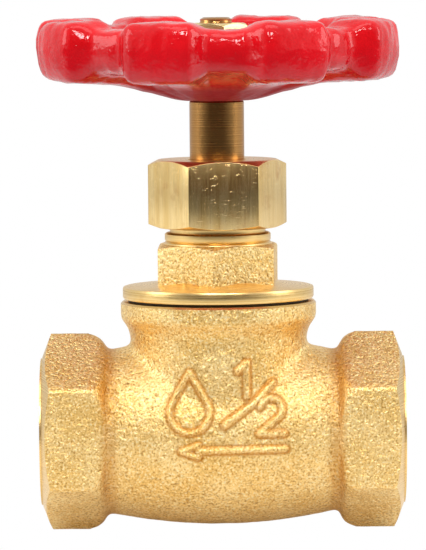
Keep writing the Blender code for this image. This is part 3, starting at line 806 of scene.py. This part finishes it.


# ---- Handwheel -------------------------------------------------------------------------------
# Cast in one piece with eight lobes and a dished web that is fluted in line with them, dipped
# in thick red enamel that stands in soft waves, goes duller underneath, and has painted shade
# low on its rim and underneath.

LOBES = 8
VALLEY_TURN = 3.5
LOBE_REACH = (9.8, 16.2)
WHEEL_SQUARE = 6.25
HUB_BOTTOM = 52.15
HUB_TOP = 60.9

# Half of a slice, from the top of the hub over the rim and back through the hub: radius and
# height in a valley, then radius and height on a lobe.
WHEEL_SLICE = [
    (2.0, HUB_TOP, 2.0, HUB_TOP), (5.0, HUB_TOP, 5.0, HUB_TOP), (5.8, 60.8, 5.8, 60.8),
    (6.3, 60.0, 6.3, 60.0), (7.0, 58.8, 7.0, 59.0), (9.0, 58.1, 9.0, 58.6),
    (13.0, 57.8, 13.0, 58.5), (17.0, 58.1, 17.2, 58.8), (18.9, 59.0, 19.2, 60.0),
    (19.6, 60.9, 19.8, 62.3), (19.9, 62.9, 20.2, 64.4), (20.7, 63.7, 21.1, 64.9),
    (22.4, 63.85, 23.2, 65.0), (24.4, 63.75, 26.9, 64.95), (25.3, 63.2, 28.25, 64.5),
    (25.7, 62.3, 28.8, 63.3), (25.8, 60.4, 29.0, 60.6), (25.6, 58.9, 28.7, 57.6),
    (25.1, 57.7, 28.0, 56.1), (24.1, 57.15, 26.7, 55.5), (22.4, 57.0, 23.7, 55.4),
    (20.6, 56.9, 21.2, 55.35), (18.5, 56.6, 18.6, 55.1), (15.6, 55.8, 15.2, 54.6),
    (12.3, 54.6, 12.0, 53.9), (9.6, 53.5, 9.4, 53.1), (7.4, 52.7, 7.3, 52.5),
    (6.0, 52.3, 6.0, 52.25), (5.0, HUB_BOTTOM, 5.0, HUB_BOTTOM), (2.0, HUB_BOTTOM, 2.0, HUB_BOTTOM),
    (2.0, HUB_TOP, 2.0, HUB_TOP),
]
wheel = turned("handwheel_visual", [point[:2] for point in WHEEL_SLICE], 192)
points = points_of(wheel)
reach = np.hypot(points[:, 0], points[:, 1])
angle = np.arctan2(points[:, 1], points[:, 0])
from_valley = (np.degrees(angle) - (VALLEY_TURN - 90)) % (360 / LOBES)
share = 1 - smoothstep(*LOBE_REACH, np.abs(from_valley - 180 / LOBES))
which = np.argmin([np.hypot(reach - p[0], points[:, 2] - p[1]) for p in WHEEL_SLICE], axis=0)
table = np.array(WHEEL_SLICE)[which]
new_reach = table[:, 0] + (table[:, 2] - table[:, 0]) * share
points[:, 2] = table[:, 1] + (table[:, 3] - table[:, 1]) * share
points[:, 0] = new_reach * np.cos(angle)
points[:, 1] = new_reach * np.sin(angle)
move_points(wheel, points)
apply_modifier(wheel, "SUBSURF", levels=1, render_levels=1)

points = points_of(wheel)
outward = smoothstep(7.0, 12.0, np.hypot(points[:, 0], points[:, 1]))
lumps = np.array([0.20 * noise.noise(Vector(p) * 0.20) + 0.20 * noise.noise(Vector(p) * 0.5)
                  + 0.05 * noise.noise(Vector(p) * 1.2) for p in points])
points += normals_of(wheel) * (lumps * outward)[:, None]
move_points(wheel, points)


POOLED_RED = (0.58, 0.004, 0.008, 1)
BRIGHT_RED = (0.74, 0.007, 0.013, 1)
SPECK_RED = (0.34, 0.0, 0.004, 1)
# Painted shade, low on the rim and underneath.
LOWER_RIM_SHADE_RED = (0.44, 0.003, 0.012, 1)
UNDERSIDE_SHADE_RED = (0.26, 0.002, 0.010, 1)


def red_enamel():
    """Thick glossy dip paint: deep red, darker where it pools, waved and slightly pitted, with painted
    shade low on the rim and underneath, where it is also duller.
    """
    material, shader = new_material("red_enamel")
    pool = grain(9, 3)
    wave = grain(2.0, 2)
    orange_peel = grain(0.9, 2)
    specks = grain(0.45, 2).steps((0.70, 0.0), (0.76, 1.0))
    colour = mix(pool.steps((0.35, 0.0), (0.65, 1.0)), POOLED_RED, BRIGHT_RED)
    colour = mix(specks * 0.3, colour, SPECK_RED)
    height = Shade.node("ShaderNodeSeparateXYZ", {}, {0: place_on_piece()}, "Z")
    # Painted shade: darker towards the bottom of the rim, darkest underneath, where the paint is also
    # rougher.
    shaded_underside = spread(height, 55.3, 54.0)
    colour = mix(spread(height, 62.0, 57.5) * 0.45, colour, LOWER_RIM_SHADE_RED)
    colour = mix(shaded_underside * 0.8, colour, UNDERSIDE_SHADE_RED)
    feed(shader, Base_Color=colour, Metallic=0.0, Roughness=0.08 + 0.07 * orange_peel + 0.5 * shaded_underside,
         Specular_IOR_Level=0.36, Coat_Weight=0.06, Coat_Roughness=0.04,
         Normal=bump(wave + orange_peel * 0.3 + specks * 0.1, 0.26, 0.8))
    return material


combine(wheel, prism("wheel_hole", 4, WHEEL_SQUARE, 50, 63, 45))
dress(wheel, red_enamel())
smooth_edges(wheel, 50)
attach(wheel, "spindle")
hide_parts("handwheel")


# ---- Wheel's washer and nut ------------------------------------------------------------------
# A thin stamped washer and a small bright brass nut hold the wheel down on the stem's square.

BRIGHT = turned_brass("bright_brass", (0.98, 0.80, 0.42, 1), (0.86, 0.60, 0.22, 1), 0.12, 0.008)
washer = dress(turned("wheel_washer_visual", [
    (3.15, 61.28), (5.2, 61.3), (5.38, 61.24), (5.4, 61.1), (5.38, 60.98), (5.2, 60.95), (3.15, 60.96),
    (3.15, 61.28)], 96), BRIGHT)
smooth_edges(washer)
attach(washer, "spindle")
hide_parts("handwheel_washer")

WHEEL_NUT_FLATS = 9.0
wheel_nut = hexagon_blank("wheel_nut_visual", WHEEL_NUT_FLATS, 61.35, 64.3, NUT_TURN + 8, 0.55, 0)
round_edges(wheel_nut, 0.08, 2, 25)
wheel_nut_bore = turned("wheel_nut_bore", [
    (0, 65), (3.8, 65), (3.15, 64.0), (3.15, 61.6), (3.6, 61.3), (3.6, 60.5), (0, 60.5)], 64)
combine(wheel_nut, wheel_nut_bore)
dress(wheel_nut, BRIGHT)
smooth_edges(wheel_nut)
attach(wheel_nut, "spindle")
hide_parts("handwheel_nut")
